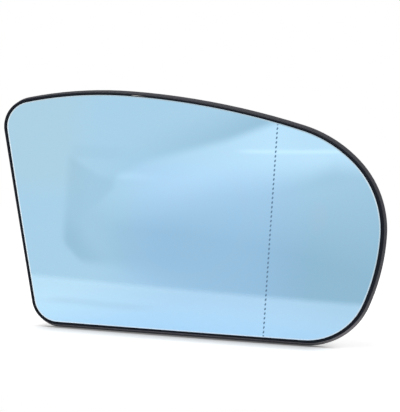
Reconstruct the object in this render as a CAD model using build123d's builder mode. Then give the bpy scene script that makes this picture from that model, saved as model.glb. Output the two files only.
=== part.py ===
"""Right-hand car door mirror glass with its clip-on backing plate, modelled in millimetres.

Frame: +X points away from the car, +Y back into the mirror housing, +Z up.
The origin is the middle of the flat seat that rests on the adjuster, on the claw ring's axis.
"""

import math
import os

from build123d import *

# Outline of the glass, as tangent arcs from the end of the lower edge, going anticlockwise.
lower_edge_end_x = 58.15
lower_edge_end_z = -52.85
lower_edge_rise_deg = 0.3
lower_outer_r = 28.1
lower_outer_deg = 69.5
outer_end_r = 95.0
outer_end_deg = 19.6
shoulder_r = 44.6
shoulder_deg = 47.2
upper_shoulder_r = 58.0
upper_shoulder_deg = 29.1
top_r = 364.0
top_deg = 13.1
crown_r = 188.0
crown_deg = 15.3
upper_inner_r = 11.6
inner_edge_lean_deg = 13.5
lower_inner_r = 11.8

# Reflecting face: one large sphere, then a tighter zone towards the outer end.
face_r = 1400.0
zone_x = 39.5
zone_first_r = 900.0
zone_second_r = 500.0
zone_end_r = 300.0
zone_step = 15.0

# Layers behind the face.
glass_t = 2.0
glass_bevel = 0.5
pad_t = 0.6
pad_inset = 2.0
wall_t = 1.8
seat_t = 1.0

# Dotted line on the face that marks where the tighter zone begins.
dot_w = 0.66
dot_l = 1.04
dot_depth = 0.06
dot_pitch = 2.15
dot_edge_gap = 0.45

# Rim and skirt of the backing plate.
glass_gap = 0.2
rim_out = 2.9
rim_proud = 0.45
rim_chamfer = 0.45
rim_depth = 10.3
flank_taper_deg = 12.5
skirt_t = 1.6

# Seat and claw ring for the adjuster.
seat_gap = 2.1
claw_in_r = 27.0
claw_t = 2.5
claw_count = 8
claw_slot_w = 7.0
claw_slot_root = 0.8
lip_reach = 1.4
lip_y = 5.0
lip_land = 1.6
claw_nose = 0.8

# Open wire ring that holds the claws shut.
wire_r = 0.8
wire_sides = 8
wire_groove_d = 0.6
wire_side_gap = 0.05
wire_opening_deg = 26.0
wire_bend_r = 2.4
wire_bend_deg = 68.0
wire_tail = 5.0

# Stiffening ribs on the back of the wall.
rib_t = 1.2
rib_h = 2.4
rib_ring_gap = 6.5
rib_count = 8

# Window for the heater's blade terminals, and the terminals themselves.
window_gap = 6.2
window_end_gap = 2.5
window_side_gap = 2.35
window_corner_r = 1.5
blade_pitch = 11.0
blade_w = 6.3
blade_t = 0.8
blade_end_y = 9.0
blade_hole_r = 0.85
blade_nose = 1.2
bend_inner_r = 0.4
foot_l = 11.0
rivet_r = 1.2
rivet_head_r = 2.1
rivet_head_t = 0.9
rivet_head_gap = 0.01
rivet_flange_r = 2.2
rivet_flange_sides = 6
rivet_flange_t = 0.35
flange_gap = 0.05

# Depths and levels that follow from the values above.
pad_depth = glass_t + pad_t
wall_depth = pad_depth + wall_t
face_y = -(wall_depth + seat_t)
centre_y = face_y + face_r
back_y = face_y + rim_depth
claw_out_r = claw_in_r + claw_t
lip_r = claw_in_r - lip_reach
seat_r = lip_r - seat_gap
claw_top_y = lip_y + lip_land + lip_reach
wire_y = lip_y + lip_land / 2
rib_ring_r = claw_out_r + rib_ring_gap
window_w = foot_l + 2 * window_end_gap
window_h = blade_pitch + blade_w + 2 * window_side_gap
window_x = -(rib_ring_r + rib_t / 2 + window_gap + rib_t + window_w / 2)
root_y = face_y + pad_depth + wall_t / 3
far_depth = 3 * rim_depth
blade_x = window_x + foot_l / 2
rivet_x = blade_x - (foot_l + blade_t) / 2
margin = 8.0

back_plane = Plane(origin=(0, back_y, 0), x_dir=(1, 0, 0), z_dir=(0, -1, 0))


def outline(grow: float = 0.0) -> Sketch:
    """Draw the glass's outline, let out or taken in by grow."""
    with BuildSketch() as shape:
        with BuildLine():
            start = Vector(lower_edge_end_x, lower_edge_end_z)
            along = Vector(1, 0).rotate(Axis.Z, lower_edge_rise_deg)
            turns = (
                (lower_outer_r, lower_outer_deg),
                (outer_end_r, outer_end_deg),
                (shoulder_r, shoulder_deg),
                (upper_shoulder_r, upper_shoulder_deg),
                (top_r, top_deg),
                (crown_r, crown_deg),
            )
            tip = start
            run = along
            heading = lower_edge_rise_deg
            for radius, turn in turns:
                arc = JernArc(start=tip, tangent=run, radius=radius, arc_size=turn)
                tip = arc @ 1
                run = arc % 1
                heading = heading + turn
            arc = JernArc(
                start=tip,
                tangent=run,
                radius=upper_inner_r,
                arc_size=270 + inner_edge_lean_deg - heading,
            )
            tip = arc @ 1
            run = arc % 1
            # The inner edge runs straight down until it meets the line of the lower edge.
            span = start - tip
            reach = (span.X * along.Y - span.Y * along.X) / (run.X * along.Y - run.Y * along.X)
            corner = tip + run * reach
            Line(tip, corner)
            Line(corner, start)
        make_face()
        fillet(shape.vertices().sort_by_distance(corner)[0], radius=lower_inner_r)
        if grow != 0.0:
            offset(amount=grow)
    return shape.sketch


plan = outline(rim_out).bounding_box()
left_run = math.degrees((margin - plan.min.X) / face_r)
tilt = math.degrees((margin + max(plan.max.Y, -plan.min.Y)) / face_r)


def face_profile(depth: float) -> list:
    """Draw the face's horizontal section at a depth behind its front, inner end first."""
    turn = math.radians(left_run)
    start = Vector(-math.sin(turn), -math.cos(turn)) * (face_r - depth)
    run = Vector(math.cos(turn), -math.sin(turn))
    main_turn = left_run + math.degrees(math.asin(zone_x / face_r))
    arcs = [JernArc(start=start, tangent=run, radius=face_r - depth, arc_size=main_turn)]
    for radius in (zone_first_r, zone_second_r):
        arcs.append(
            JernArc(
                start=arcs[-1] @ 1,
                tangent=arcs[-1] % 1,
                radius=radius - depth,
                arc_size=math.degrees(zone_step / radius),
            )
        )
    length = plan.max.X + margin - zone_x - 2 * zone_step
    arcs.append(
        JernArc(
            start=arcs[-1] @ 1,
            tangent=arcs[-1] % 1,
            radius=zone_end_r - depth,
            arc_size=math.degrees(length / zone_end_r),
        )
    )
    return arcs


def layer(near: float, far: float) -> Part:
    """Make the curved slab between two depths behind the glass's front face."""
    lean = math.radians(tilt)
    section = Plane(
        origin=(0, centre_y, 0), x_dir=(1, 0, 0), z_dir=(0, -math.sin(lean), math.cos(lean))
    )
    with BuildPart() as slab:
        with BuildSketch(section):
            with BuildLine():
                front = face_profile(near)
                back = face_profile(far)
                Line(front[0] @ 0, back[0] @ 0)
                Line(front[-1] @ 1, back[-1] @ 1)
            make_face()
        revolve(axis=Axis((0, centre_y, 0), (-1, 0, 0)), revolution_arc=2 * tilt)
    return slab.part


def flank_block(grow: float) -> Part:
    """Make the block whose sides lean in from the skirt's back edge like the rim's flank."""
    with BuildPart() as block:
        with BuildSketch(back_plane):
            add(outline(grow))
        extrude(amount=rim_depth + 2 * rim_proud, taper=flank_taper_deg)
    return block.part


def disc_plane(level: float) -> Plane:
    """Give the plane across the claw axis at a level, facing forwards."""
    return Plane(origin=(0, level, 0), x_dir=(1, 0, 0), z_dir=(0, -1, 0))


def sphere_point(x: float, z: float, depth: float) -> Vector:
    """Find the point at a depth behind the face, over a place on the main sphere."""
    radius = face_r - depth
    return Vector(x, centre_y - math.sqrt(radius**2 - x**2 - z**2), z)


def blade_rivet(z: float) -> Part:
    """Make the rivet that fastens one terminal's foot to the heater pad."""
    spot = sphere_point(rivet_x, z, pad_depth)
    inward = (Vector(0, centre_y, 0) - spot).normalized()
    section = Plane(origin=spot, x_dir=(0, inward.Z, -inward.Y), z_dir=inward)
    flange = flange_gap - pad_t
    head = blade_t + rivet_head_gap
    with BuildPart() as rivet:
        with BuildSketch(section.offset(flange)):
            RegularPolygon(radius=rivet_flange_r, side_count=rivet_flange_sides)
        extrude(amount=rivet_flange_t)
        with BuildSketch(section.offset(flange)):
            Circle(rivet_r)
        extrude(amount=head + rivet_head_t - flange)
        with BuildSketch(section.offset(head)):
            Circle(rivet_head_r)
        extrude(amount=rivet_head_t)
        crown = rivet.edges().filter_by(GeomType.CIRCLE).sort_by(Axis.Y)[-1]
        chamfer(crown, length=rivet_head_t / 2)
    return rivet.part


def blade_terminal(z: float) -> Part:
    """Make one bent blade terminal, its foot lying on the heater pad."""
    with BuildPart() as terminal:
        with BuildSketch(disc_plane(blade_end_y)):
            with Locations((blade_x - foot_l / 2, z)):
                Rectangle(foot_l, blade_w)
        extrude(amount=blade_end_y - face_y)
        add(layer(pad_depth, far_depth), mode=Mode.INTERSECT)
        # Everything behind the foot goes, up to the blade.
        with BuildPart(mode=Mode.PRIVATE) as waste:
            add(layer(pad_depth + blade_t, far_depth))
            with BuildSketch(disc_plane(blade_end_y + blade_w)):
                with Locations((blade_x - blade_t - foot_l, z)):
                    Rectangle(2 * foot_l, 2 * blade_w)
            extrude(amount=2 * rim_depth + blade_w, mode=Mode.INTERSECT)
        add(waste.part, mode=Mode.SUBTRACT)
        # The strip bends round from the foot into the blade.
        across = terminal.edges().filter_by(lambda e: abs(e.length - blade_w) < blade_t / 4)
        heel = across.sort_by_distance(sphere_point(blade_x, z, pad_depth))[0]
        throat = across.sort_by_distance(
            sphere_point(blade_x - blade_t, z, pad_depth + blade_t)
        )[0]
        fillet(heel, radius=bend_inner_r + blade_t)
        fillet(throat, radius=bend_inner_r)
        tips = terminal.edges().filter_by(Axis.X).group_by(Axis.Y)[-1]
        chamfer(tips, length=blade_nose)
        latch = Plane(
            origin=(blade_x, blade_end_y - blade_w / 2, z), x_dir=(0, 0, 1), z_dir=(1, 0, 0)
        )
        with BuildSketch(latch):
            Circle(blade_hole_r)
        extrude(amount=2 * blade_t, both=True, mode=Mode.SUBTRACT)
        add(blade_rivet(z), mode=Mode.SUBTRACT)
    return terminal.part


os.makedirs("parts", exist_ok=True)

# Tinted glass with a ground edge and a line of shallow dots.
border = outline().wire()
zone_line = Edge.make_line((zone_x, plan.min.Y), (zone_x, plan.max.Y)) & outline()
line_ends = sorted(v.Y for v in zone_line.vertices())
with BuildPart() as mirror_glass:
    add(layer(0, glass_t))
    with BuildSketch(back_plane):
        add(outline())
    extrude(amount=2 * rim_depth, mode=Mode.INTERSECT)
    front = mirror_glass.faces().filter_by(lambda f: f.normal_at().Y < -0.7)
    ground = front.edges().filter_by(
        lambda e: border.distance_to(Vertex((e @ 0.5).X, (e @ 0.5).Z, 0)) < glass_bevel / 4
    )
    chamfer(ground, length=glass_bevel)
    low_z = line_ends[0] + dot_edge_gap
    dot_count = int((line_ends[1] - dot_edge_gap - low_z) / dot_pitch) + 1
    for step in range(dot_count):
        spot = sphere_point(zone_x, low_z + step * dot_pitch, dot_depth)
        with BuildSketch(Plane(origin=spot, x_dir=(1, 0, 0), z_dir=(0, -1, 0))):
            Rectangle(dot_w, dot_l)
        extrude(amount=glass_t, mode=Mode.SUBTRACT)
mirror_glass.part.label = "mirror_glass"
export_step(mirror_glass.part, "parts/mirror_glass.step")

# Self-adhesive heating foil between the glass and the wall of the plate.
with BuildPart() as heater_pad:
    add(layer(glass_t, pad_depth))
    with BuildSketch(back_plane):
        add(outline(-pad_inset))
    extrude(amount=2 * rim_depth, mode=Mode.INTERSECT)
    for side in (-1, 1):
        add(blade_rivet(side * blade_pitch / 2), mode=Mode.SUBTRACT)
heater_pad.part.label = "heater_pad"
export_step(heater_pad.part, "parts/heater_pad.step")

# Backing plate: rim, wall, skirt, seat, claw ring and ribs in one moulding.
with BuildPart() as backing_plate:
    add(flank_block(rim_out))
    add(layer(-rim_proud, far_depth), mode=Mode.INTERSECT)
    # Break the outer edge of the rim's front.
    front = backing_plate.faces().filter_by(lambda f: f.normal_at().Y < -0.7)
    outer = front.edges().filter_by(
        lambda e: border.distance_to(Vertex((e @ 0.5).X, (e @ 0.5).Z, 0)) < rim_out
    )
    chamfer(outer, length=rim_chamfer)
    # Pocket for the glass and its pad.
    with BuildPart(mode=Mode.PRIVATE) as pocket:
        add(layer(-2 * rim_proud, pad_depth))
        with BuildSketch(back_plane):
            add(outline(glass_gap))
        extrude(amount=2 * rim_depth, mode=Mode.INTERSECT)
    add(pocket.part, mode=Mode.SUBTRACT)
    # Hollow of the skirt behind the wall.
    with BuildPart(mode=Mode.PRIVATE) as hollow:
        add(flank_block(rim_out - skirt_t))
        add(layer(wall_depth, far_depth), mode=Mode.INTERSECT)
    add(hollow.part, mode=Mode.SUBTRACT)
    # Ribs: a ring round the claws, arms out to the skirt and a frame round the window.
    with BuildPart(mode=Mode.PRIVATE) as ribs:
        add(flank_block(rim_out - skirt_t / 2))
        with BuildSketch(disc_plane(back_y)):
            with PolarLocations(rib_ring_r + plan.size.X / 2, rib_count, 180 / rib_count):
                Rectangle(plan.size.X, rib_t)
            Circle(rib_ring_r + rib_t / 2)
            Circle(rib_ring_r - rib_t / 2, mode=Mode.SUBTRACT)
            with Locations((window_x, 0)):
                RectangleRounded(
                    window_w + 2 * rib_t, window_h + 2 * rib_t, window_corner_r + rib_t
                )
        extrude(amount=2 * rim_depth, mode=Mode.INTERSECT)
        add(layer(wall_depth - wall_t / 3, wall_depth + rib_h), mode=Mode.INTERSECT)
    add(ribs.part)
    with BuildSketch(disc_plane(back_y)):
        with Locations((window_x, 0)):
            RectangleRounded(window_w, window_h, window_corner_r)
    extrude(amount=2 * rim_depth, mode=Mode.SUBTRACT)
    # Flat seat for the adjuster.
    with BuildSketch(disc_plane(0)):
        Circle(seat_r)
    extrude(amount=-root_y)
    # Claw ring with inward lips, slotted into fingers, grooved for the wire ring.
    with BuildSketch(Plane.XY):
        with BuildLine():
            Polyline(
                (claw_in_r, root_y),
                (claw_in_r, lip_y),
                (lip_r, lip_y),
                (lip_r, lip_y + lip_land),
                (claw_in_r, claw_top_y),
                (claw_out_r - claw_nose, claw_top_y),
                (claw_out_r, claw_top_y - claw_nose),
                (claw_out_r, wire_y + wire_r + wire_side_gap),
                (claw_out_r - wire_groove_d, wire_y + wire_r + wire_side_gap),
                (claw_out_r - wire_groove_d, wire_y - wire_r - wire_side_gap),
                (claw_out_r, wire_y - wire_r - wire_side_gap),
                (claw_out_r, root_y),
                close=True,
            )
        make_face()
    revolve(axis=Axis.Y)
    with BuildSketch(disc_plane(claw_top_y)):
        with PolarLocations((lip_r + claw_out_r) / 2, claw_count, 180 / claw_count):
            Rectangle(claw_out_r - lip_r + 2 * claw_t, claw_slot_w)
    extrude(amount=claw_top_y - claw_slot_root, mode=Mode.SUBTRACT)
backing_plate.part.label = "backing_plate"
export_step(backing_plate.part, "parts/backing_plate.step")

# Open wire ring in the claws' groove, its ends turned outwards.
wire_ring_r = claw_out_r - wire_groove_d + wire_r
with BuildPart() as retaining_spring:
    with BuildLine(disc_plane(wire_y)) as wire_path:
        ring = CenterArc((0, 0), wire_ring_r, 90 + wire_opening_deg / 2, 360 - wire_opening_deg)
        first = JernArc(
            start=ring @ 0, tangent=(ring % 0) * -1, radius=wire_bend_r, arc_size=wire_bend_deg
        )
        Line(first @ 1, first @ 1 + (first % 1) * wire_tail)
        last = JernArc(start=ring @ 1, tangent=ring % 1, radius=wire_bend_r, arc_size=-wire_bend_deg)
        tail = Line(last @ 1, last @ 1 + (last % 1) * wire_tail)
    with BuildSketch(Plane(origin=tail @ 1, z_dir=tail % 1)):
        RegularPolygon(radius=wire_r, side_count=wire_sides)
    sweep(path=wire_path.wire())
retaining_spring.part.label = "retaining_spring"
export_step(retaining_spring.part, "parts/retaining_spring.step")

# The heater's two blade terminals and the rivets through their feet.
with BuildPart() as upper_terminal:
    add(blade_terminal(blade_pitch / 2))
upper_terminal.part.label = "upper_terminal"
export_step(upper_terminal.part, "parts/upper_terminal.step")

with BuildPart() as lower_terminal:
    add(blade_terminal(-blade_pitch / 2))
lower_terminal.part.label = "lower_terminal"
export_step(lower_terminal.part, "parts/lower_terminal.step")

with BuildPart() as terminal_rivets:
    for side in (-1, 1):
        add(blade_rivet(side * blade_pitch / 2))
terminal_rivets.part.label = "terminal_rivets"
export_step(terminal_rivets.part, "parts/terminal_rivets.step")
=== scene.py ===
"""Looks for a right-hand car door mirror glass: tinted mirror, black clip-on plate and its fittings.

All lengths are metres in the part's own frame: +X away from the car, +Y back into the mirror
housing, +Z up.
"""

from __future__ import annotations

import logging
import math
from abc import ABC, abstractmethod
from collections.abc import Sequence
from dataclasses import dataclass, field
from enum import Enum

import bmesh
import bpy
from mathutils import Matrix, Vector

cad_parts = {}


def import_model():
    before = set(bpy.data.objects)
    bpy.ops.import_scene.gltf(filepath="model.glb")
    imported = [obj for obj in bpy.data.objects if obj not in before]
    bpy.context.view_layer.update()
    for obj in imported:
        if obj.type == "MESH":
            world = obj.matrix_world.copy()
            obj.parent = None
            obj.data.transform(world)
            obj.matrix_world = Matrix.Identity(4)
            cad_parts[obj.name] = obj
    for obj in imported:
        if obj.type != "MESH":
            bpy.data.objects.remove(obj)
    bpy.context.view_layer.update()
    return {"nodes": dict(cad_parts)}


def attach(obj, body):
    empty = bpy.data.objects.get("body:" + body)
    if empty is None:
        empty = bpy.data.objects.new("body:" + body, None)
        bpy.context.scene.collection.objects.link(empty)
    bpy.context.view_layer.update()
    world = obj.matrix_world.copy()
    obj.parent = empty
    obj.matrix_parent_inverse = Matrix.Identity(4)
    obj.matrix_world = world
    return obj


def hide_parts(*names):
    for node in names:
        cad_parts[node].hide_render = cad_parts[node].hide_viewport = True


LOG = logging.getLogger("mirror_glass_scene")
MM = 0.001
Number = int | float
Triple = tuple[float, float, float]
Inputs = dict[int | str, object]
# Where a Mix node keeps its colour sockets.
MIX_COLOURS = (6, 7)
MIX_RESULT = 2


class Wire:
    """A shader socket that takes part in Python expressions; each step adds a Math node."""

    def __init__(self, board: Board, socket: bpy.types.NodeSocket) -> None:
        """Keep the board and the output socket that this wire comes from."""
        self.board = board
        self.socket = socket

    def _math(self, operation: str, *values: Wire | Number) -> Wire:
        """Add a Math node with its inputs, in order."""
        inputs = dict(enumerate(values))
        return self.board.add("ShaderNodeMath", inputs, {"operation": operation}).out(0)

    def __add__(self, other: Wire | Number) -> Wire:
        """Add."""
        return self._math("ADD", self, other)

    def __radd__(self, other: Number) -> Wire:
        """Add to a number."""
        return self._math("ADD", other, self)

    def __sub__(self, other: Wire | Number) -> Wire:
        """Subtract."""
        return self._math("SUBTRACT", self, other)

    def __rsub__(self, other: Number) -> Wire:
        """Subtract from a number."""
        return self._math("SUBTRACT", other, self)

    def __mul__(self, other: Wire | Number) -> Wire:
        """Multiply."""
        return self._math("MULTIPLY", self, other)

    def __rmul__(self, other: Number) -> Wire:
        """Multiply a number."""
        return self._math("MULTIPLY", other, self)

    def __truediv__(self, other: Wire | Number) -> Wire:
        """Divide."""
        return self._math("DIVIDE", self, other)

    def __rtruediv__(self, other: Number) -> Wire:
        """Divide a number."""
        return self._math("DIVIDE", other, self)

    def __pow__(self, other: Number) -> Wire:
        """Raise to a power."""
        return self._math("POWER", self, other)

    def __rpow__(self, other: Number) -> Wire:
        """Raise a number to this power."""
        return self._math("POWER", other, self)

    def __abs__(self) -> Wire:
        """Take the absolute value."""
        return self._math("ABSOLUTE", self)

    def sin(self) -> Wire:
        """Take the sine."""
        return self._math("SINE", self)

    def least(self, other: Wire | Number) -> Wire:
        """Take the smaller of two values."""
        return self._math("MINIMUM", self, other)

    def most(self, other: Wire | Number) -> Wire:
        """Take the larger of two values."""
        return self._math("MAXIMUM", self, other)

    def ease(self, low: float, high: float, smooth: bool = True) -> Wire:
        """Go from 0 at low to 1 at high.

        Args:
            low: The value that gives 0.
            high: The value that gives 1; it may be below low.
            smooth: Whether it eases in and out or runs straight.

        Returns:
            The value between 0 and 1.
        """
        settings = {"interpolation_type": "SMOOTHSTEP" if smooth else "LINEAR"}
        if low <= high:
            values = {"Value": self, "From Min": low, "From Max": high}
            return self.board.add("ShaderNodeMapRange", values, settings).out("Result")
        values = {"Value": self, "From Min": high, "From Max": low}
        return 1.0 - self.board.add("ShaderNodeMapRange", values, settings).out("Result")


class Part:
    """A shader node, with its outputs as wires."""

    def __init__(self, board: Board, node: bpy.types.Node) -> None:
        """Keep the board and the node."""
        self.board = board
        self.node = node

    def out(self, key: int | str) -> Wire:
        """Give one output as a wire."""
        return Wire(self.board, self.node.outputs[key])


class Board:
    """A node tree that finishes are drawn on."""

    def __init__(self, tree: bpy.types.NodeTree) -> None:
        """Clear the tree and keep it."""
        self.tree = tree
        tree.nodes.clear()

    def add(
        self, kind: str, inputs: Inputs | None = None, settings: dict[str, str] | None = None
    ) -> Part:
        """Add a node.

        Args:
            kind: The node's type.
            inputs: Values or wires for its input sockets.
            settings: Attributes, set first.

        Returns:
            The node.
        """
        node = self.tree.nodes.new(kind)
        for key, value in (settings or {}).items():
            setattr(node, key, value)
        for key, value in (inputs or {}).items():
            if isinstance(value, Wire):
                self.tree.links.new(value.socket, node.inputs[key])
            else:
                node.inputs[key].default_value = value
        return Part(self, node)

    def place(self) -> Wire:
        """Give the object-space position."""
        return self.add("ShaderNodeTexCoord").out("Object")

    def axes(self, vector: Wire) -> tuple[Wire, Wire, Wire]:
        """Split a vector into its three parts."""
        split = self.add("ShaderNodeSeparateXYZ", {"Vector": vector})
        return split.out("X"), split.out("Y"), split.out("Z")

    def stretch(self, vector: Wire, factors: Triple) -> Wire:
        """Scale a vector along its axes."""
        inputs = {0: vector, 1: factors}
        return self.add("ShaderNodeVectorMath", inputs, {"operation": "MULTIPLY"}).out(0)

    def scale(self, colour: Wire, factor: Wire) -> Wire:
        """Make a colour or vector weaker or stronger as a whole."""
        inputs = {0: colour, "Scale": factor}
        return self.add("ShaderNodeVectorMath", inputs, {"operation": "SCALE"}).out(0)

    def noise(self, vector: Wire, scale: float, detail: float = 2.0, rough: float = 0.5) -> Wire:
        """Give fractal noise from 0 to 1, with its scale per metre and its detail in octaves."""
        inputs = {"Vector": vector, "Scale": scale, "Detail": detail, "Roughness": rough}
        return self.add("ShaderNodeTexNoise", inputs).out("Fac")

    def blend(self, factor: Wire, first: Triple | Wire, second: Triple | Wire) -> Wire:
        """Mix two colours.

        Args:
            factor: 0 for the first, 1 for the second.
            first: The first colour.
            second: The second colour.

        Returns:
            The mixed colour.
        """
        pair = [c if isinstance(c, Wire) else (*c, 1.0) for c in (first, second)]
        inputs = {"Factor": factor, **dict(zip(MIX_COLOURS, pair))}
        return self.add("ShaderNodeMix", inputs, {"data_type": "RGBA"}).out(MIX_RESULT)

    def bump(self, height: Wire, distance: float) -> Wire:
        """Turn a height into a normal."""
        inputs = {"Height": height, "Distance": distance, "Strength": 1.0}
        return self.add("ShaderNodeBump", inputs).out("Normal")

    def surface(self, inputs: Inputs) -> None:
        """Finish the board with one Principled shader."""
        shader = self.add("ShaderNodeBsdfPrincipled", inputs)
        self.add("ShaderNodeOutputMaterial", {"Surface": shader.out("BSDF")})


@dataclass(frozen=True)
class Fade:
    """A passage from 0 to 1 between two values."""

    zero: float
    one: float
    smooth: bool = True

    def of(self, value: Wire) -> Wire:
        """Tell how far a value has come on the passage."""
        return value.ease(self.zero, self.one, self.smooth)


@dataclass(frozen=True)
class Span:
    """A stretch with soft ends: 1 from first to last, 0 before it begins and after its end."""

    begin: float
    first: float
    last: float
    end: float

    def of(self, value: Wire) -> Wire:
        """Tell how far a value lies inside the stretch."""
        return value.ease(self.begin, self.first) * value.ease(self.end, self.last)


@dataclass(frozen=True)
class Finish(ABC):
    """A finish, which draws its nodes on the board of a new material."""

    name: str

    def material(self) -> bpy.types.Material:
        """Make the material.

        Returns:
            The material.
        """
        material = bpy.data.materials.new(self.name)
        material.use_nodes = True
        self.draw(Board(material.node_tree))
        return material

    @abstractmethod
    def draw(self, board: Board) -> None:
        """Draw the finish on a board."""


@dataclass(frozen=True)
class TintedMirror(Finish):
    """Blue-tinted mirror with a trace of haze and dust film."""

    name: str = "tinted_mirror"
    tint: Triple = (0.475, 0.765, 0.975)
    deep_tint: Triple = (0.465, 0.755, 0.970)
    cloud_scale: float = 14.0
    film_scale: float = 60.0
    film_stretch: Triple = (1.0, 1.0, 2.4)
    rough: float = 0.018
    haze: float = 0.012
    coat: float = 0.35
    coat_rough: float = 0.01

    def draw(self, board: Board) -> None:
        """Draw the mirror.

        Args:
            board: The board to draw on.
        """
        place = board.place()
        cloud = board.noise(place, self.cloud_scale, detail=3.0)
        film = board.stretch(place, self.film_stretch)
        film = board.noise(film, self.film_scale, detail=4.0, rough=0.6)
        board.surface(
            {
                "Base Color": board.blend(cloud, self.tint, self.deep_tint),
                "Metallic": 1.0,
                "Roughness": self.rough + film * self.haze,
                "Coat Weight": self.coat,
                "Coat Roughness": self.coat_rough,
            }
        )


@dataclass(frozen=True)
class GroundEdge(Finish):
    """Finely ground glass edge that catches the light."""

    name: str = "ground_edge"
    pale: Triple = (0.80, 0.92, 1.00)
    deep: Triple = (0.72, 0.86, 0.96)
    metal: float = 0.9
    rough: float = 0.20
    grit_rough: float = 0.14
    grit_scale: float = 5200.0
    grit_depth: float = 0.01 * MM

    def draw(self, board: Board) -> None:
        """Draw the grit.

        Args:
            board: The board to draw on.
        """
        grit = board.noise(board.place(), self.grit_scale)
        board.surface(
            {
                "Base Color": board.blend(grit, self.deep, self.pale),
                "Metallic": self.metal,
                "Roughness": self.rough + grit * self.grit_rough,
                "Normal": board.bump(grit, self.grit_depth),
            }
        )


@dataclass(frozen=True)
class EtchedDot(Finish):
    """Dark etched mark in the mirror."""

    name: str = "etched_dot"
    dark: Triple = (0.10, 0.21, 0.34)
    pale: Triple = (0.16, 0.31, 0.48)
    rough: float = 0.42
    speck_rough: float = 0.2
    speck_scale: float = 3800.0

    def draw(self, board: Board) -> None:
        """Draw the specks.

        Args:
            board: The board to draw on.
        """
        speck = board.noise(board.place(), self.speck_scale)
        board.surface(
            {
                "Base Color": board.blend(speck, self.dark, self.pale),
                "Roughness": self.rough + speck * self.speck_rough,
            }
        )


@dataclass(frozen=True)
class SatinPlastic(Finish):
    """Black moulded plastic with a fine spark-eroded grain, with painted sheen and light: greyer
    towards the back of its flank and on its underside, a little lighter on faces that look back, and a
    short painted glint on the rim's inner edge.
    """

    name: str = "black_plastic"
    dark: Triple = (0.0074, 0.0098, 0.0170)
    worn: Triple = (0.0118, 0.0142, 0.0215)
    cloud_scale: float = 90.0
    # Painted sheen: faces that look back are a little lighter.
    painted_rear_sheen: Triple = (0.024, 0.025, 0.028)
    rear_sheen_lean: Fade = Fade(-0.05, 0.4)
    # Painted sheen that greys the flank towards its back edge.
    flank_sheen: Triple = (0.072, 0.071, 0.085)
    flank: Fade = Fade(-7.0 * MM, 5.5 * MM, smooth=False)
    flank_curve: float = 1.5
    flank_taper: float = 12.5
    flank_match: Fade = Fade(0.12, 0.06)
    mottle: float = 0.4
    # Painted light from the white table below, on the flank's underside.
    under: Triple = (0.29, 0.27, 0.285)
    under_rise: Fade = Fade(0.0, -0.8)
    under_front: float = 0.4
    # A painted glint on the rim's inner edge.
    painted_glint: Triple = (0.62, 0.61, 0.58)
    glint_x: Span = Span(-30.5 * MM, -29.0 * MM, -28.0 * MM, -22.5 * MM)
    glint_z: Span = Span(55.35 * MM, 55.6 * MM, 56.1 * MM, 56.35 * MM)
    glint_lean: Fade = Fade(-0.75, -0.95)
    rough: float = 0.62
    cloud_rough: float = 0.08
    grain_rough: float = 0.06
    gloss: float = 0.1
    grain_scale: float = 3600.0
    grain_depth: float = 0.012 * MM

    def draw(self, board: Board) -> None:
        """Draw the plastic.

        Args:
            board: The board to draw on.
        """
        place = board.place()
        across, depth, up = board.axes(place)
        _, lean, rise = board.axes(board.add("ShaderNodeTexCoord").out("Normal"))
        grain = board.noise(place, self.grain_scale, detail=3.0, rough=0.55)
        cloud = board.noise(place, self.cloud_scale, detail=3.0)
        plain = board.blend(cloud, self.dark, self.worn)
        # Painted sheen: faces that look back are blended a little lighter.
        plain = board.blend(self.rear_sheen_lean.of(lean), plain, self.painted_rear_sheen)
        # Only the flank leans forwards by its moulding taper.
        on_flank = self.flank_match.of(abs(lean + math.sin(math.radians(self.flank_taper))))
        back = self.flank.of(depth)
        # Painted light from the table below greys the underside, most towards the back.
        below = self.under_rise.of(rise)
        under = below * (self.under_front + back * (1.0 - self.under_front))
        # Painted sheen greys the flank towards its back edge, mottled by the grain.
        sheen_share = on_flank * (back**self.flank_curve).most(below)
        sheen_share = sheen_share * (1.0 - self.mottle / 2.0 + grain * self.mottle)
        # The plastic's own colour, with the painted sheen and the painted underside light blended in.
        moulded = board.blend(sheen_share, plain, board.blend(under, self.flank_sheen, self.under))
        # A short painted glint on the rim's inner edge.
        glint = self.glint_x.of(across) * self.glint_z.of(up) * self.glint_lean.of(lean)
        board.surface(
            {
                "Base Color": board.blend(glint, moulded, self.painted_glint),
                "Roughness": self.rough + cloud * self.cloud_rough + grain * self.grain_rough,
                "Specular IOR Level": self.gloss,
                "Normal": board.bump(grain, self.grain_depth),
            }
        )


@dataclass(frozen=True)
class LinedMetal(Finish):
    """Metal with the fine lines of its making and duller patches."""

    bright: Triple
    dull: Triple
    patch: Fade = Fade(0.35, 0.7)
    cloud_scale: float = 420.0
    cloud_detail: float = 4.0
    cloud_fine: float = 0.6
    cloud_rough: float = 0.1
    rough: float = 0.26
    line_rough: float = 0.12
    line_scale: float = 1500.0
    line_stretch: Triple = (4.0, 0.4, 0.4)
    line_depth: float = 0.004 * MM

    def draw(self, board: Board) -> None:
        """Draw the lines and the patches.

        Args:
            board: The board to draw on.
        """
        place = board.place()
        lines = board.noise(board.stretch(place, self.line_stretch), self.line_scale)
        cloud = board.noise(place, self.cloud_scale, self.cloud_detail, self.cloud_fine)
        board.surface(
            {
                "Base Color": board.blend(self.patch.of(cloud), self.bright, self.dull),
                "Metallic": 1.0,
                "Roughness": self.rough + lines * self.line_rough + cloud * self.cloud_rough,
                "Normal": board.bump(lines, self.line_depth),
            }
        )


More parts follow.
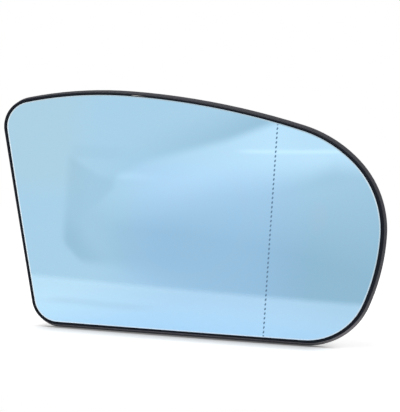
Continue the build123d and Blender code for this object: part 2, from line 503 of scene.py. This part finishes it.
@dataclass(frozen=True)
class DrawnSteel(LinedMetal):
    """Spring wire with fine drawing lines, evenly clouded."""

    name: str = "spring_steel"
    bright: Triple = (0.60, 0.60, 0.61)
    dull: Triple = (0.40, 0.40, 0.42)
    patch: Fade = Fade(1.0, 0.0, smooth=False)
    cloud_scale: float = 160.0
    cloud_detail: float = 3.0
    cloud_fine: float = 0.5
    cloud_rough: float = 0.0
    rough: float = 0.24
    line_rough: float = 0.18
    line_scale: float = 2400.0
    line_stretch: Triple = (0.25, 3.0, 0.25)
    line_depth: float = 0.006 * MM


@dataclass(frozen=True)
class PrintedFoil(Finish):
    """Matt heating foil with the raised tracks of its printed circuit."""

    name: str = "heater_foil"
    base: Triple = (0.030, 0.030, 0.033)
    track: Triple = (0.060, 0.058, 0.056)
    pitch: float = 4.0 * MM
    wave_length: float = 11.0 * MM
    wave_height: float = 0.7 * MM
    track_edge: Fade = Fade(-0.1, 0.25)
    track_height: float = 0.03 * MM
    rough: float = 0.62
    track_shine: float = 0.16

    def draw(self, board: Board) -> None:
        """Draw the tracks.

        Args:
            board: The board to draw on.
        """
        across, _, up = board.axes(board.place())
        wave = (across * (2.0 * math.pi / self.wave_length)).sin() * self.wave_height
        track = self.track_edge.of(((up + wave) * (2.0 * math.pi / self.pitch)).sin())
        board.surface(
            {
                "Base Color": board.blend(track, self.base, self.track),
                "Roughness": self.rough - track * self.track_shine,
                "Normal": board.bump(track, self.track_height),
            }
        )


class Zone(Enum):
    """The surfaces of the glass, by material slot."""

    FACE = 0
    EDGE = 1
    BACK = 2


@dataclass
class Outline:
    """The glass's outline: tangent arcs from the end of its lower edge, going anticlockwise."""

    end: tuple[float, float] = (58.15 * MM, -52.85 * MM)
    rise: float = 0.3
    arcs: tuple[tuple[float, float], ...] = (
        (28.1 * MM, 69.5),
        (95.0 * MM, 19.6),
        (44.6 * MM, 47.2),
        (58.0 * MM, 29.1),
        (364.0 * MM, 13.1),
        (188.0 * MM, 15.3),
    )
    upper_inner_r: float = 11.6 * MM
    inner_lean: float = 13.5
    lower_inner_r: float = 11.8 * MM
    spacing: float = 1.9 * MM
    least_steps: int = 4

    def points(self) -> list[tuple[Vector, Vector]]:
        """Walk round the outline.

        Returns:
            Points and outward directions, as (x, z) vectors.
        """
        found: list[tuple[Vector, Vector]] = []
        tip = Vector(self.end)
        heading = math.radians(self.rise)
        last = 270.0 + self.inner_lean - self.rise - sum(turn for _, turn in self.arcs)
        for radius, turn in (*self.arcs, (self.upper_inner_r, last)):
            tip, heading = self._bend(found, tip, heading, radius, math.radians(turn))
        # The inner edge and the lower edge are straight, joined by the lower inner corner.
        low_turn = 2.0 * math.pi + math.radians(self.rise) - heading
        down = Vector((math.cos(heading), math.sin(heading)))
        along = Vector((math.cos(math.radians(self.rise)), math.sin(math.radians(self.rise))))
        span = Vector(self.end) - tip
        cross = down.x * along.y - down.y * along.x
        reach = (span.x * along.y - span.y * along.x) / cross
        cut = self.lower_inner_r * math.tan(low_turn / 2.0)
        tip = self._run(found, tip, heading, reach - cut)
        tip, heading = self._bend(found, tip, heading, self.lower_inner_r, low_turn)
        self._run(found, tip, heading, (Vector(self.end) - tip).length)
        return found

    def _bend(
        self,
        found: list[tuple[Vector, Vector]],
        tip: Vector,
        heading: float,
        radius: float,
        turn: float,
    ) -> tuple[Vector, float]:
        """Add an arc's points.

        Args:
            found: The list to add to.
            tip: Where the arc begins.
            heading: Its first direction, in radians.
            radius: Its radius.
            turn: How far it turns, in radians.

        Returns:
            The arc's end and the direction there.
        """
        centre = tip + radius * Vector((-math.sin(heading), math.cos(heading)))
        count = max(self.least_steps, round(radius * turn / self.spacing))
        for step in range(count):
            angle = heading + turn * step / count
            away = Vector((math.sin(angle), -math.cos(angle)))
            found.append((centre + radius * away, away))
        angle = heading + turn
        return centre + radius * Vector((math.sin(angle), -math.cos(angle))), angle

    def _run(
        self, found: list[tuple[Vector, Vector]], tip: Vector, heading: float, length: float
    ) -> Vector:
        """Add a straight run's points.

        Args:
            found: The list to add to.
            tip: Where the run begins.
            heading: Its direction, in radians.
            length: Its length.

        Returns:
            The run's end.
        """
        ahead = Vector((math.cos(heading), math.sin(heading)))
        away = Vector((math.sin(heading), -math.cos(heading)))
        count = max(self.least_steps, round(length / self.spacing))
        for step in range(count):
            found.append((tip + ahead * (length * step / count), away))
        return tip + ahead * length


@dataclass
class FaceForm:
    """The reflecting surface: a large sphere, then arcs that tighten towards the outer end."""

    vertex_y: float = -5.4 * MM
    radius: float = 1400.0 * MM
    zone_x: float = 39.5 * MM
    zone_radii: tuple[float, ...] = (900.0 * MM, 500.0 * MM, 300.0 * MM)
    zone_step: float = 15.0 * MM

    def arcs(self) -> list[tuple[float, float, float, float]]:
        """List the horizontal section's arcs.

        Returns:
            For each arc, the x where it begins, its centre's x and y, and its radius.
        """
        centre = Vector((0.0, self.vertex_y + self.radius))
        listed = [(-math.inf, centre.x, centre.y, self.radius)]
        radius = self.radius
        angle = math.asin(self.zone_x / self.radius)
        for tighter in self.zone_radii:
            away = Vector((math.sin(angle), -math.cos(angle)))
            begin = centre.x + radius * away.x
            centre = centre + (radius - tighter) * away
            listed.append((begin, centre.x, centre.y, tighter))
            radius = tighter
            angle += self.zone_step / tighter
        return listed

    def at(self, x: float, z: float, depth: float = 0.0) -> tuple[Vector, Vector]:
        """Find a point behind the face and the face's outward direction there.

        Args:
            x: Across.
            z: Up.
            depth: How far behind the face, along its own direction.

        Returns:
            The point and the unit direction out of the glass.
        """
        axis_y = self.vertex_y + self.radius
        _, cx, cy, radius = next(arc for arc in reversed(self.arcs()) if x >= arc[0])
        inner = radius - depth
        section_y = cy - math.sqrt(inner * inner - (x - cx) ** 2)
        swing = axis_y - section_y
        y = axis_y - math.sqrt(swing * swing - z * z)
        lean = math.asin((x - cx) / inner)
        tip = math.asin(z / swing)
        away = Vector(
            (math.sin(lean), -math.cos(lean) * math.cos(tip), math.cos(lean) * math.sin(tip))
        )
        return Vector((x, y, z)), away


@dataclass
class MirrorGlass:
    """The tinted glass with its ground edge."""

    outline: Outline = field(default_factory=Outline)
    form: FaceForm = field(default_factory=FaceForm)
    thickness: float = 2.0 * MM
    bevel: float = 0.7 * MM
    lip: float = 0.14 * MM
    lip_fall: float = 0.08 * MM
    rings: int = 34
    back_rings: tuple[float, ...] = (0.75, 0.5, 0.25)
    back_rough: float = 0.6

    def build(self) -> bpy.types.Object:
        """Make the glass's mesh, with true directions on its face.

        Returns:
            The glass.
        """
        border = self.outline.points()
        centre = sum((p for p, _ in border), Vector((0.0, 0.0))) / len(border)
        mesh = bmesh.new()
        aims: list[Vector] = []
        inset = [p - away * self.bevel for p, away in border]
        rings: list[list[bmesh.types.BMVert]] = []
        for step in range(self.rings):
            share = 1.0 - step / self.rings
            ring = []
            for flat in inset:
                x, z = centre + (flat - centre) * share
                point, away = self.form.at(x, z)
                ring.append(mesh.verts.new(point))
                aims.append(away)
            rings.append(ring)
        point, away = self.form.at(*centre)
        rings.append([mesh.verts.new(point)])
        aims.append(away)
        # The ground edge falls gently to its lip, then steeply to the side.
        falls = ((self.lip, self.lip_fall), (0.0, self.bevel), (0.0, self.thickness))
        sides = [
            [mesh.verts.new(self.form.at(*(p - away * inward), depth)[0]) for p, away in border]
            for inward, depth in falls
        ]
        backs = []
        for share in self.back_rings:
            flats = [centre + (p - centre) * share for p, _ in border]
            backs.append([mesh.verts.new(self.form.at(*f, self.thickness)[0]) for f in flats])
        back_hub = mesh.verts.new(self.form.at(*centre, self.thickness)[0])
        for outer, inner in zip(rings, rings[1:]):
            self._band(mesh, outer, inner, Zone.FACE)
        for outer, inner in zip(sides, (rings[0], *sides)):
            self._band(mesh, outer, inner, Zone.EDGE)
        for outer, inner in zip((sides[-1], *backs), backs):
            self._band(mesh, inner, outer, Zone.BACK)
        self._band(mesh, backs[-1][::-1], [back_hub], Zone.BACK)
        data = bpy.data.meshes.new("mirror_glass_face")
        mesh.to_mesh(data)
        mesh.free()
        self._aim(data, aims)
        glass = bpy.data.objects.new("tinted_glass", data)
        bpy.context.scene.collection.objects.link(glass)
        return glass

    @staticmethod
    def _band(
        mesh: bmesh.types.BMesh,
        outer: list[bmesh.types.BMVert],
        inner: list[bmesh.types.BMVert],
        zone: Zone,
    ) -> None:
        """Join a ring to another one, or to a single point in its middle.

        Args:
            mesh: The mesh to add to.
            outer: The ring's points.
            inner: The other ring's points, or the one point.
            zone: The surface that the faces belong to.
        """
        count = len(outer)
        for i in range(count):
            j = (i + 1) % count
            far = (inner[j], inner[i]) if len(inner) > 1 else inner
            face = mesh.faces.new((outer[i], outer[j], *far))
            face.material_index = zone.value
            face.smooth = True

    @staticmethod
    def _aim(data: bpy.types.Mesh, aims: list[Vector]) -> None:
        """Give the face the surface's own directions, and every other surface its flat ones.

        Args:
            data: The glass's mesh.
            aims: The face's directions, by vertex.
        """
        aimed = []
        for polygon in data.polygons:
            for vertex in polygon.vertices:
                on_face = polygon.material_index == Zone.FACE.value
                aimed.append(aims[vertex] if on_face else polygon.normal.copy())
        data.normals_split_custom_set(aimed)

    def dress(self, glass: bpy.types.Object) -> None:
        """Put the finishes on and let the glass stand for its node.

        Args:
            glass: The glass.
        """
        back = SatinPlastic("glass_back_paint", rough=self.back_rough)
        for finish in (TintedMirror(), GroundEdge(), back):
            glass.data.materials.append(finish.material())
        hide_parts("mirror_glass")
        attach(glass, "root")


@dataclass
class ZoneDots:
    """The dotted line where the tighter zone begins."""

    form: FaceForm = field(default_factory=FaceForm)
    half_width: float = 0.40 * MM
    half_height: float = 0.66 * MM
    lean: float = 0.2
    pitch: float = 2.15 * MM
    low_z: float = -52.498 * MM
    count: int = 47
    face_low: float = -52.43 * MM
    face_high: float = 46.34 * MM
    lift: float = 0.012 * MM
    sides: int = 12

    def build(self) -> bpy.types.Object:
        """Make the dots as one mesh of small rounded marks lying on the face.

        Returns:
            The dots.
        """
        mesh = bmesh.new()
        for step in range(self.count):
            place = self.low_z + step * self.pitch
            # The end dots stop where the ground edge begins.
            low = max(place - self.half_height, self.face_low)
            high = min(place + self.half_height, self.face_high)
            z = (low + high) / 2.0
            ring = []
            for side in range(self.sides):
                angle = 2.0 * math.pi * side / self.sides
                rise = (high - low) / 2.0 * math.sin(angle)
                x = self.form.zone_x + self.half_width * math.cos(angle) + rise * self.lean
                point, away = self.form.at(x, z + rise)
                ring.append(mesh.verts.new(point + away * self.lift))
            point, away = self.form.at(self.form.zone_x, z)
            hub = mesh.verts.new(point + away * self.lift)
            for side in range(self.sides):
                mesh.faces.new((ring[side], ring[(side + 1) % self.sides], hub))
        data = bpy.data.meshes.new("zone_dots")
        mesh.to_mesh(data)
        mesh.free()
        dots = bpy.data.objects.new("zone_dots", data)
        bpy.context.scene.collection.objects.link(dots)
        return dots

    def dress(self, dots: bpy.types.Object) -> None:
        """Put the finish on and fasten the dots to the glass.

        Args:
            dots: The dots.
        """
        dots.data.materials.append(EtchedDot().material())
        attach(dots, "root")


@dataclass
class PlateAndFittings:
    """The moulded plate and the metal pieces behind it, which keep their own solids."""

    nodes: dict[str, bpy.types.Object]

    def dress(self) -> list[bpy.types.Object]:
        """Give each node its finish.

        Returns:
            The dressed nodes.
        """
        tin = LinedMetal("tinned_brass", bright=(0.66, 0.64, 0.58), dull=(0.48, 0.46, 0.40)).material()
        brass = LinedMetal("rivet_brass", bright=(0.74, 0.56, 0.28), dull=(0.52, 0.38, 0.18)).material()
        finishes = {
            "backing_plate": SatinPlastic().material(),
            "heater_pad": PrintedFoil().material(),
            "retaining_spring": DrawnSteel().material(),
            "upper_terminal": tin,
            "lower_terminal": tin,
            "terminal_rivets": brass,
        }
        dressed = []
        for name, finish in finishes.items():
            node = self.nodes[name]
            node.data.materials.clear()
            node.data.materials.append(finish)
            dressed.append(node)
        return dressed


@dataclass(frozen=True)
class Edge:
    """A straight edge between two fields of the wall."""

    tilt: float
    height: float

    def above(self, across: Wire, up: Wire) -> Wire:
        """Tell how far a place lies above the edge, below 0 under it."""
        return up - across * self.tilt - self.height


@dataclass(frozen=True)
class LitField:
    """The wall's bright field, which dims downwards along lines that rise to the right."""

    deep: float = 0.62
    deep_middle: float = 0.046
    deep_middle_side: Fade = Fade(0.15, -0.15)
    deep_left: float = 0.05
    deep_left_side: Fade = Fade(-0.33, -0.62)
    middle: float = 0.75
    foot: Edge = Edge(-0.12, -0.104)
    foot_end: float = -0.30
    head: Edge = Edge(0.16, 0.06)
    bright: float = 0.985
    bright_side: Fade = Fade(-0.72, -0.05, smooth=False)
    level: Edge = Edge(0.20, 0.054)
    level_end: float = 0.25
    level_step: float = 0.03
    reach: float = 0.12
    reach_gain: float = 0.04
    reach_gain_side: Fade = Fade(-0.36, -0.13)
    reach_loss: float = 0.075
    reach_loss_side: Fade = Fade(-0.10, 0.20)
    streak: float = 0.125
    streak_line: Edge = Edge(0.05, 0.2115)
    streak_width: Span = Span(-0.011, 0.0, 0.0, 0.011)
    streak_side: Fade = Fade(-0.17, -0.10)
    veil: float = 0.03
    veil_edge: Fade = Fade(0.0, 0.02)
    veil_side: Fade = Fade(-0.05, 0.10)
    ridge: float = 0.07
    ridge_x: Span = Span(-0.56, -0.52, -0.52, -0.36)
    ridge_z: Span = Span(0.082, 0.104, 0.104, 0.126)

    def tone(self, across: Wire, up: Wire) -> Wire:
        """Work out the field's tone.

        Args:
            across: The place's x, in metres.
            up: Its height.

        Returns:
            The tone.
        """
        low = self.deep + self.deep_middle_side.of(across) * self.deep_middle
        low = low + self.deep_left_side.of(across) * self.deep_left
        over_foot = self.foot.above(across.most(self.foot_end), up)
        over_head = self.head.above(across, up)
        rise = (over_foot / (over_foot - over_head)).ease(0.0, 1.0, smooth=False)
        tone = low + rise * (self.middle - low)
        tone = tone + self._lift(across, up) * (self.bright - self.middle)
        # A pale streak crosses the field, duller above it, and a short ridge lies to the left.
        over_streak = self.streak_line.above(across, up)
        tone = tone + self.streak_width.of(over_streak) * self.streak_side.of(across) * self.streak
        tone = tone - self.veil_edge.of(over_streak) * self.veil_side.of(across) * self.veil
        return tone + self.ridge_x.of(across) * self.ridge_z.of(up) * self.ridge

    def _lift(self, across: Wire, up: Wire) -> Wire:
        """Tell how much of the brightest tone a place has.

        Args:
            across: The place's x, in metres.
            up: Its height.

        Returns:
            The share, from 0 to 1.
        """
        right = self.reach_loss_side.of(across)
        reach = self.reach_gain_side.of(across) * self.reach_gain + self.reach
        reach = reach - right * self.reach_loss
        over_level = self.level.above(across.least(self.level_end), up) - right * self.level_step
        return (over_level / reach).ease(0.0, 1.0) * self.bright_side.of(across)


@dataclass(frozen=True)
class DimField:
    """The wall's dim field, to the left of the bright one."""

    shade: float = 0.735
    shade_gain: float = 0.014
    shade_side: Fade = Fade(-0.67, -0.62)
    corner_dark: float = 0.055
    corner_reach: Fade = Fade(0.13, 0.03)
    border_lean: float = 0.95
    border_x: float = -0.605
    border_end: float = -0.547
    border: Fade = Fade(0.016, -0.016)
    blur: Fade = Fade(-0.50, -0.62)
    blur_top: Fade = Fade(0.0, -0.05)

    def tone(self, across: Wire, over_corner: Wire) -> Wire:
        """Work out the field's tone, darker close to the cut corner."""
        tone = self.shade + self.shade_side.of(across) * self.shade_gain
        return tone - self.corner_reach.of(over_corner) * self.corner_dark

    def cover(self, across: Wire, up: Wire) -> Wire:
        """Tell how far the field covers the bright one, ending sharply above and softly below.

        Args:
            across: The place's x, in metres.
            up: Its height.

        Returns:
            The share, from 0 to 1.
        """
        border = (up * self.border_lean + self.border_x).least(self.border_end)
        sharp = self.border.of(across - border)
        return sharp + self.blur_top.of(up) * (self.blur.of(across) - sharp)


@dataclass(frozen=True)
class WallTones(Finish):
    """Painted light and shade on the plain glowing wall that the mirror looks at: soft light and dark
    fields that stand in for the room it reflects.
    """

    name: str = "studio_wall"
    lit: LitField = LitField()
    dim: DimField = DimField()
    slope: Edge = Edge(0.32, 0.295)
    slope_left: Edge = Edge(0.52, 0.383)
    slope_right: Edge = Edge(0.44, 0.317)
    slope_blur: Fade = Fade(0.022, -0.018)
    turn_high: Edge = Edge(-0.56, -0.2377)
    turn_low: Edge = Edge(-0.20, -0.0195)
    turn_blur: Fade = Fade(0.014, -0.014)
    left_blur: Fade = Fade(-0.725, -0.69)
    corner: Edge = Edge(-0.90, -0.762)
    corner_blur: Fade = Fade(-0.015, 0.015)
    bottom: Edge = Edge(-0.20, -0.290)
    bottom_left: Edge = Edge(0.0, -0.184)
    bottom_blur: float = 0.02
    bottom_blur_gain: float = 0.08
    bottom_blur_side: Fade = Fade(-0.60, -0.25)
    plain: float = 0.806
    # Painted shade of a recess and of a faint ledge on the glowing wall.
    recess_shade: float = 0.135
    recess_reach: Fade = Fade(0.14, 0.0)
    recess_side: Fade = Fade(-0.60, -0.05, smooth=False)
    ledge_shade: float = 0.028
    ledge_x: Span = Span(-0.715, -0.685, -0.60, -0.45)
    ledge_z: Span = Span(0.145, 0.165, 0.185, 0.205)
    fall: float = 0.25
    fall_high: Fade = Fade(0.38, 0.85)
    fall_right: Fade = Fade(0.65, 1.2)
    glare: float = 0.22
    glare_side: Fade = Fade(-0.95, -1.15)
    gains: Triple = (1.25, 1.045, 0.95)
    offsets: Triple = (-0.22, 0.0, 0.10)
    cool: float = 0.05
    cool_x: Span = Span(-0.60, -0.40, -0.10, 0.25)
    cool_top: Fade = Fade(0.22, 0.10)
    warm: float = 0.035
    warm_side: Fade = Fade(-0.60, -0.75)
    warm_foot: Fade = Fade(0.0, 0.10)

    def draw(self, board: Board) -> None:
        """Draw the tones.

        Args:
            board: The board to draw on.
        """
        across, _, up = board.axes(board.place())
        tone = self._tone(across, up)
        # Darker tones are bluer, most of all in the middle, and the upper left is warmer.
        cool = self.cool_x.of(across) * self.cool_top.of(up) * self.cool
        warm = self.warm_side.of(across) * self.warm_foot.of(up) * self.warm
        red, green, blue = (tone * gain + base for gain, base in zip(self.gains, self.offsets))
        shares = {"X": red + warm, "Y": green, "Z": blue + cool - warm}
        colour = board.add("ShaderNodeCombineXYZ", shares)
        glow = board.add("ShaderNodeEmission", {"Color": colour.out(0), "Strength": 1.0})
        board.add("ShaderNodeOutputMaterial", {"Surface": glow.out(0)})

    def _tone(self, across: Wire, up: Wire) -> Wire:
        """Work out the tone at a place on the wall.

        Args:
            across: The place's x, in metres.
            up: Its height.

        Returns:
            The tone.
        """
        over_slope = self.slope.above(across, up).least(self.slope_right.above(across, up))
        over_slope = over_slope.most(self.slope_left.above(across, up))
        over_corner = self.corner.above(across, up)
        lit = self.lit.tone(across, up)
        dim = self.dim.tone(across, over_corner)
        fields = lit + self.dim.cover(across, up) * (dim - lit)
        # Round the fields the wall is plain, with painted shade of a recess over the slope and of a
        # faint ledge.
        rest = self.plain - self.recess_reach.of(over_slope) * self.recess_side.of(across) * self.recess_shade
        rest = rest - self.ledge_x.of(across) * self.ledge_z.of(up) * self.ledge_shade
        # High up and far to the right it is dimmer, and far to the left it is white.
        rest = rest - self.fall_high.of(up).most(self.fall_right.of(across)) * self.fall
        rest = rest + self.glare_side.of(across) * self.glare
        return rest + self._inside(across, up, over_slope, over_corner) * (fields - rest)

    def _inside(self, across: Wire, up: Wire, over_slope: Wire, over_corner: Wire) -> Wire:
        """Tell how far a place lies in the fields: under the slope or its turn, above the bottom.

        Args:
            across: The place's x, in metres.
            up: Its height.
            over_slope: Its height over the slope.
            over_corner: Its height over the cut corner.

        Returns:
            The share, from 0 to 1.
        """
        over_turn = self.turn_high.above(across, up).least(self.turn_low.above(across, up))
        inside = self.slope_blur.of(over_slope).most(self.turn_blur.of(over_turn))
        inside = inside * self.left_blur.of(across) * self.corner_blur.of(over_corner)
        over_bottom = self.bottom_left.above(across, up).most(self.bottom.above(across, up))
        blur = self.bottom_blur_side.of(across) * self.bottom_blur_gain + self.bottom_blur
        return inside * (over_bottom / blur).ease(-1.0, 1.0)


@dataclass(frozen=True)
class TablePaint(Finish):
    """White table top: white to the eye, with a painted shadow, seen by the eye only, where the object
    stands close over it.
    """

    name: str = "white_floor"
    front_fade: float = 0.055
    white: Triple = (0.80, 0.80, 0.80)
    glow: float = 0.60
    # Colour of the painted shadow.
    dark: Triple = (0.17, 0.17, 0.175)
    shade_reach: float = 32.0 * MM
    shade_depth: Fade = Fade(0.97, 0.10, smooth=False)
    shade_curve: float = 0.66
    shade_x: Span = Span(-79.0 * MM, -57.0 * MM, 58.0 * MM, 80.0 * MM)
    shade_start: float = 0.80
    shade_growth: Fade = Fade(-79.0 * MM, 80.0 * MM)
    # Painted reflection: the table's glow to glossy rays, by place.
    gleam: Triple = (0.245, 0.28, 0.345)
    gleam_left: Triple = (0.385, 0.395, 0.385)
    gleam_left_side: Fade = Fade(-0.01, -0.12)
    gleam_right: Triple = (0.20, 0.235, 0.275)
    gleam_right_side: Fade = Fade(0.02, 0.11)
    gleam_back: Triple = (0.8, 0.8, 0.8)
    gleam_back_side: Fade = Fade(0.0, 12.0 * MM)
    far_gleam: float = 0.85
    near_gain: float = 0.22
    near_side: Fade = Fade(-0.20, -0.05)
    gleam_dip: float = 0.20
    gleam_dip_x: Span = Span(-0.09, -0.07, -0.03, 0.0)
    gleam_dip_y: Span = Span(0.096, 0.122, 0.122, 0.148)

    def draw(self, board: Board) -> None:
        """Draw the paint, its shade and its gleam.

        Args:
            board: The board to draw on.
        """
        path = board.add("ShaderNodeLightPath")
        seen = path.out("Is Camera Ray")
        # A painted shadow, seen by the eye only, darkens the paint and the glow where the object stands
        # close.
        cover = self._cover(board) * seen
        tint = {"Color": board.blend(cover, self.white, self.dark)}
        paint = board.add("ShaderNodeBsdfDiffuse", tint)
        shown = board.blend(cover, (1.0, 1.0, 1.0), self.dark)
        glow = board.add("ShaderNodeEmission", {"Color": shown, "Strength": seen * self.glow})
        shine = {"Color": self._gleam(board), "Strength": path.out("Is Glossy Ray")}
        gleam = board.add("ShaderNodeEmission", shine)
        both = board.add("ShaderNodeAddShader", {0: paint.out(0), 1: glow.out(0)})
        both = board.add("ShaderNodeAddShader", {0: both.out(0), 1: gleam.out(0)})
        # The table fades out at its front edge.
        _, ahead, _ = board.axes(board.place())
        reach = self.front_fade / 2.0
        clear = board.add("ShaderNodeBsdfTransparent")
        layers = {0: ahead.ease(-reach, reach), 1: clear.out(0), 2: both.out(0)}
        faded = board.add("ShaderNodeMixShader", layers)
        board.add("ShaderNodeOutputMaterial", {"Surface": faded.out(0)})

    def _cover(self, board: Board) -> Wire:
        """Tell how far the painted shadow covers the table, from ambient occlusion near the object,
        growing a little to the right.

        Args:
            board: The board to draw on.

        Returns:
            The share, from 0 to 1.
        """
        across, _, _ = board.axes(board.add("ShaderNodeNewGeometry").out("Position"))
        sky = board.add("ShaderNodeAmbientOcclusion", {"Distance": self.shade_reach})
        cover = self.shade_depth.of(sky.out("AO")) ** self.shade_curve * self.shade_x.of(across)
        growth = self.shade_growth.of(across) * (1.0 - self.shade_start)
        return cover * (self.shade_start + growth)

    def _gleam(self, board: Board) -> Wire:
        """Mix the painted gleam that the mirror and the rim show.

        Args:
            board: The board to draw on.

        Returns:
            Its colour.
        """
        across, behind, _ = board.axes(board.add("ShaderNodeNewGeometry").out("Position"))
        along, ahead, _ = board.axes(board.place())
        colour = board.blend(self.gleam_left_side.of(across), self.gleam, self.gleam_left)
        colour = board.blend(self.gleam_right_side.of(across), colour, self.gleam_right)
        # Painted light under the plate's back, which its flank reflects.
        colour = board.blend(self.gleam_back_side.of(behind), colour, self.gleam_back)
        # Painted light: it is stronger close to the object, and weaker in a small painted dip.
        near = self.far_gleam + self.near_side.of(behind) * self.near_gain
        return board.scale(colour, near - self.gleam_dip_x.of(along) * self.gleam_dip_y.of(ahead) * self.gleam_dip)


@dataclass(frozen=True)
class Softbox:
    """A soft square lamp that faces the mirror and shows in no reflection."""

    name: str
    place: Triple
    size: float
    power: float

    def hang(self) -> None:
        """Hang the lamp."""
        data = bpy.data.lights.new(self.name, "AREA")
        data.energy = self.power
        data.size = self.size
        lamp = bpy.data.objects.new(self.name, data)
        lamp.location = self.place
        lamp.rotation_euler = (-Vector(self.place)).to_track_quat("-Z", "Y").to_euler()
        lamp.visible_glossy = False
        bpy.context.scene.collection.objects.link(lamp)


@dataclass
class Studio:
    """The plain stage: white table, toned wall behind the camera, soft lights and the world."""

    paint: TablePaint = TablePaint()
    floor_z: float = -56.06 * MM
    floor_rise: float = 0.3
    floor_front: float = -0.212
    floor_turn: float = 9.5
    floor_size: float = 6.0
    wall_y: float = -2.0
    wall_corners: tuple[tuple[float, float], ...] = ((-4.0, -1.5), (4.0, -1.5), (4.0, 2.5), (-4.0, 2.5))
    sky_light: float = 0.55
    lamps: tuple[Softbox, ...] = (
        Softbox("key_softbox", (-0.5, -1.3, 1.5), size=1.4, power=15.0),
        Softbox("fill_softbox", (1.4, -0.6, 0.9), size=1.2, power=1.0),
    )

    def build(self) -> list[bpy.types.Object]:
        """Make the stage.

        Returns:
            The stage's meshes.
        """
        self._world()
        floor = self._floor()
        wall = self._wall()
        for lamp in self.lamps:
            lamp.hang()
        return [floor, wall]

    def _world(self) -> None:
        """Make the world white to the eye and in reflections, and softer as a light."""
        world = bpy.data.worlds.new("studio")
        bpy.context.scene.world = world
        world.use_nodes = True
        board = Board(world.node_tree)
        path = board.add("ShaderNodeLightPath")
        seen = path.out("Is Camera Ray").most(path.out("Is Glossy Ray"))
        seen = seen.most(path.out("Is Transmission Ray"))
        strength = self.sky_light + seen * (1.0 - self.sky_light)
        sky = {"Color": (1.0, 1.0, 1.0, 1.0), "Strength": strength}
        light = board.add("ShaderNodeBackground", sky)
        board.add("ShaderNodeOutputWorld", {"Surface": light.out(0)})

    def _floor(self) -> bpy.types.Object:
        """Make the white table top, set slightly askew, which keeps the shadow.

        Returns:
            The table top.
        """
        half = self.floor_size / 2.0
        reach = self.paint.front_fade / 2.0
        corners = [(-half, -reach), (half, -reach), (half, self.floor_size), (-half, self.floor_size)]
        floor = self._sheet("white_floor", [(x, y, 0.0) for x, y in corners])
        # It lies along the plate's lower edge.
        floor.location = (0.0, self.floor_front, self.floor_z)
        floor.rotation_euler = (0.0, -math.radians(self.floor_rise), math.radians(self.floor_turn))
        floor.data.materials.append(self.paint.material())
        return floor

    def _wall(self) -> bpy.types.Object:
        """Make the wall behind the camera, which only the mirror shows.

        Returns:
            The wall.
        """
        wall = self._sheet("studio_wall", [(x, self.wall_y, z) for x, z in self.wall_corners])
        wall.data.materials.append(WallTones().material())
        wall.visible_camera = False
        wall.visible_diffuse = False
        wall.visible_shadow = False
        return wall

    @staticmethod
    def _sheet(name: str, corners: list[Triple]) -> bpy.types.Object:
        """Make a flat stage sheet.

        Args:
            name: Its name.
            corners: Its corners, in order.

        Returns:
            The sheet.
        """
        data = bpy.data.meshes.new(name)
        data.from_pydata(corners, [], [list(range(len(corners)))])
        sheet = bpy.data.objects.new(name, data)
        bpy.context.scene.collection.objects.link(sheet)
        return sheet


@dataclass
class PhotoCamera:
    """The photograph's viewpoint: from the outer side, level with the mirror, slightly rolled."""

    target: Triple = (6.0 * MM, -5.4 * MM, 6.0 * MM)
    distance: float = 0.678
    azimuth: float = 8.0
    roll: float = 3.9
    lens: float = 127.1
    sensor: float = 36.0

    def build(self) -> None:
        """Make the camera and look through it."""
        turn = math.radians(self.azimuth)
        back = Vector((math.sin(turn), -math.cos(turn), 0.0))
        level = Vector((math.cos(turn), math.sin(turn), 0.0))
        up = Vector((0.0, 0.0, 1.0))
        tilt = math.radians(self.roll)
        right = level * math.cos(tilt) + up * math.sin(tilt)
        top = up * math.cos(tilt) - level * math.sin(tilt)
        eye = Vector(self.target) + back * self.distance
        data = bpy.data.cameras.new("photo_camera")
        data.lens = self.lens
        data.sensor_width = self.sensor
        camera = bpy.data.objects.new("photo_camera", data)
        turned = Matrix((right, top, back)).transposed().to_4x4()
        camera.matrix_world = Matrix.Translation(eye) @ turned
        bpy.context.scene.collection.objects.link(camera)
        bpy.context.scene.camera = camera


def main() -> None:
    """Build the scene, piece by piece."""
    logging.basicConfig(level=logging.INFO, format="%(message)s")
    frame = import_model()
    bpy.context.scene.view_settings.view_transform = "Standard"
    PhotoCamera().build()
    glass_maker = MirrorGlass()
    glass = glass_maker.build()
    glass_maker.dress(glass)
    LOG.info("%s: %d faces", glass.name, len(glass.data.polygons))
    dots_maker = ZoneDots()
    dots = dots_maker.build()
    dots_maker.dress(dots)
    LOG.info("%s: %d faces", dots.name, len(dots.data.polygons))
    for node in PlateAndFittings(frame["nodes"]).dress():
        LOG.info("%s: dressed", node.name)
    for sheet in Studio().build():
        LOG.info("%s: stage", sheet.name)


if __name__ == "__main__":
    main()
